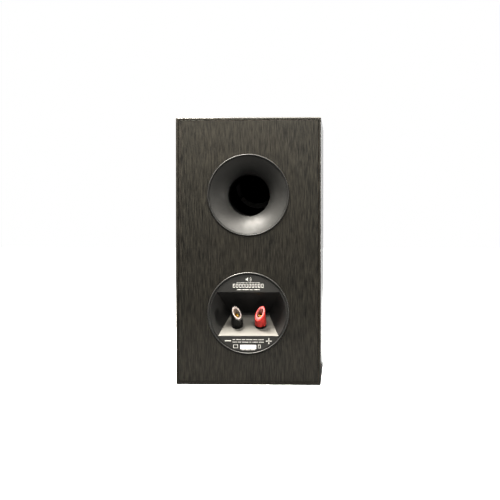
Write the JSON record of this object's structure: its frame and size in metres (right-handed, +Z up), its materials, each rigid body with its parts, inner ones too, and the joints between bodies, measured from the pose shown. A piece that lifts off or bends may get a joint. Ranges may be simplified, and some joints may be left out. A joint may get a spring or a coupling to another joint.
{
  "type": "bookshelf speaker",
  "caption": "Two-way bookshelf loudspeaker in black ash, with a flared rear port, a round recessed terminal cup and screw-down binding posts with banana sockets.",
  "frame": {"origin": "middle of the footprint, on the surface the cabinet stands on", "axes": "+Z up; the drivers face -Y; the port and the terminals face +Y; X across the cabinet"},
  "size_m": [0.184, 0.261, 0.339],
  "materials": {
    "black_ash": "black ash grain vinyl on fibreboard, satin",
    "baffle_satin": "satin black",
    "fibreboard": "raw fibreboard",
    "damping_foam": "grey open-cell foam",
    "gasket_foam": "closed-cell foam tape",
    "cup_plastic": "satin black moulding",
    "tube_plastic": "black tube",
    "white_label": "blank white label",
    "gold_plate": "gold-plated brass",
    "collar_plastic": "black insulating collar",
    "black_knob_plastic": "black moulding",
    "red_knob_plastic": "red moulding",
    "clear_sleeve_plastic": "whitish insulating sleeve",
    "pink_sleeve_plastic": "pinkish insulating sleeve",
    "zinc_steel": "zinc-plated steel",
    "tinned_brass": "tinned brass",
    "basket_metal": "textured black paint",
    "black_screw": "black screw",
    "coated_paper": "coated paper pulp",
    "cap_plastic": "smooth dust cap",
    "former_aluminium": "thin foil former",
    "copper_wire": "enamelled copper wire",
    "surround_rubber": "butyl rubber",
    "spider_cloth": "resin-treated cloth",
    "ferrite": "ferrite ring",
    "tinsel_braid": "braided lead",
    "dome_silk": "coated silk",
    "circuit_board": "green laminate",
    "nylon": "natural nylon",
    "film_capacitor": "taped film capacitor",
    "resistor_ceramic": "white ceramic",
    "black_wire": "insulated wire",
    "red_wire": "insulated wire"
  },
  "bodies": {
    "cabinet": {"front_baffle": "baffle_satin", "left_side_panel": "black_ash", "right_side_panel": "black_ash", "top_panel": "black_ash", "bottom_panel": "black_ash", "rear_panel": "black_ash", "window_brace": "fibreboard", "side_damping_pads": "damping_foam", "top_damping_pad": "damping_foam", "rear_fitting_gaskets": "gasket_foam", "port_flare": "cup_plastic", "port_tube": "tube_plastic", "terminal_cup": "cup_plastic", "rating_label": "white_label", "black_post_stud": "gold_plate", "red_post_stud": "gold_plate", "post_collars": "collar_plastic", "post_inner_washers": "zinc_steel", "post_solder_tags": "tinned_brass", "post_nuts": "gold_plate", "woofer_basket": "basket_metal", "woofer_gasket": "gasket_foam", "woofer_screws": "black_screw", "woofer_surround": "surround_rubber", "woofer_spider": "spider_cloth", "woofer_top_plate": "zinc_steel", "woofer_magnet": "ferrite", "woofer_yoke": "zinc_steel", "woofer_terminal_strip": "fibreboard", "driver_spade_terminals": "tinned_brass", "woofer_tinsel_leads": "tinsel_braid", "tweeter_faceplate": "baffle_satin", "tweeter_screws": "black_screw", "tweeter_surround": "dome_silk", "tweeter_top_plate": "zinc_steel", "tweeter_magnet": "ferrite", "tweeter_yoke": "zinc_steel", "tweeter_rear_chamber": "tube_plastic", "crossover_board": "circuit_board", "crossover_standoffs": "nylon", "crossover_screws": "zinc_steel", "crossover_coils": "copper_wire", "crossover_capacitors": "film_capacitor", "crossover_resistors": "resistor_ceramic", "black_wiring": "black_wire", "red_wiring": "red_wire"},
    "woofer_cone_group": {"woofer_cone": "coated_paper", "woofer_dust_cap": "cap_plastic", "woofer_coil_former": "former_aluminium", "woofer_coil_winding": "copper_wire"},
    "tweeter_dome_group": {"tweeter_dome": "dome_silk", "tweeter_voice_coil": "copper_wire"},
    "black_clamp": {"black_clamp_washer": "gold_plate"},
    "black_knob_group": {"black_knob": "black_knob_plastic", "black_knob_insert": "gold_plate", "black_knob_sleeve": "clear_sleeve_plastic"},
    "red_clamp": {"red_clamp_washer": "gold_plate"},
    "red_knob_group": {"red_knob": "red_knob_plastic", "red_knob_insert": "gold_plate", "red_knob_sleeve": "pink_sleeve_plastic"}
  },
  "joints": [
    {"name": "woofer_cone_travel", "type": "slide", "parent": "cabinet", "child": "woofer_cone_group", "axis": [0, -1, 0], "range_m": [-0.006, 0.006], "stiffness_N_per_m": 1200, "deforming": ["woofer_surround", "woofer_spider", "woofer_tinsel_leads"]},
    {"name": "tweeter_dome_travel", "type": "slide", "parent": "cabinet", "child": "tweeter_dome_group", "axis": [0, -1, 0], "range_m": [-0.0004, 0.0004], "stiffness_N_per_m": 500, "deforming": ["tweeter_surround"]},
    {"name": "black_knob_travel", "type": "slide", "parent": "cabinet", "child": "black_clamp", "axis": [0, 0.5878, 0.809], "range_m": [0, 0.004]},
    {"name": "black_knob_turn", "type": "hinge", "parent": "black_clamp", "child": "black_knob_group", "pos_m": [0.015, 0.1159, 0.07905], "axis": [0, 0.5878, 0.809], "range_deg": [0, 1800]},
    {"name": "red_knob_travel", "type": "slide", "parent": "cabinet", "child": "red_clamp", "axis": [0, 0.5878, 0.809], "range_m": [0, 0.004]},
    {"name": "red_knob_turn", "type": "hinge", "parent": "red_clamp", "child": "red_knob_group", "pos_m": [-0.015, 0.1159, 0.07905], "axis": [0, 0.5878, 0.809], "range_deg": [0, 1800]}
  ],
  "couplings": [
    {"joint": "black_knob_turn", "follows": "black_knob_travel", "rad_per_m": 7854},
    {"joint": "red_knob_turn", "follows": "red_knob_travel", "rad_per_m": 7854}
  ]
}
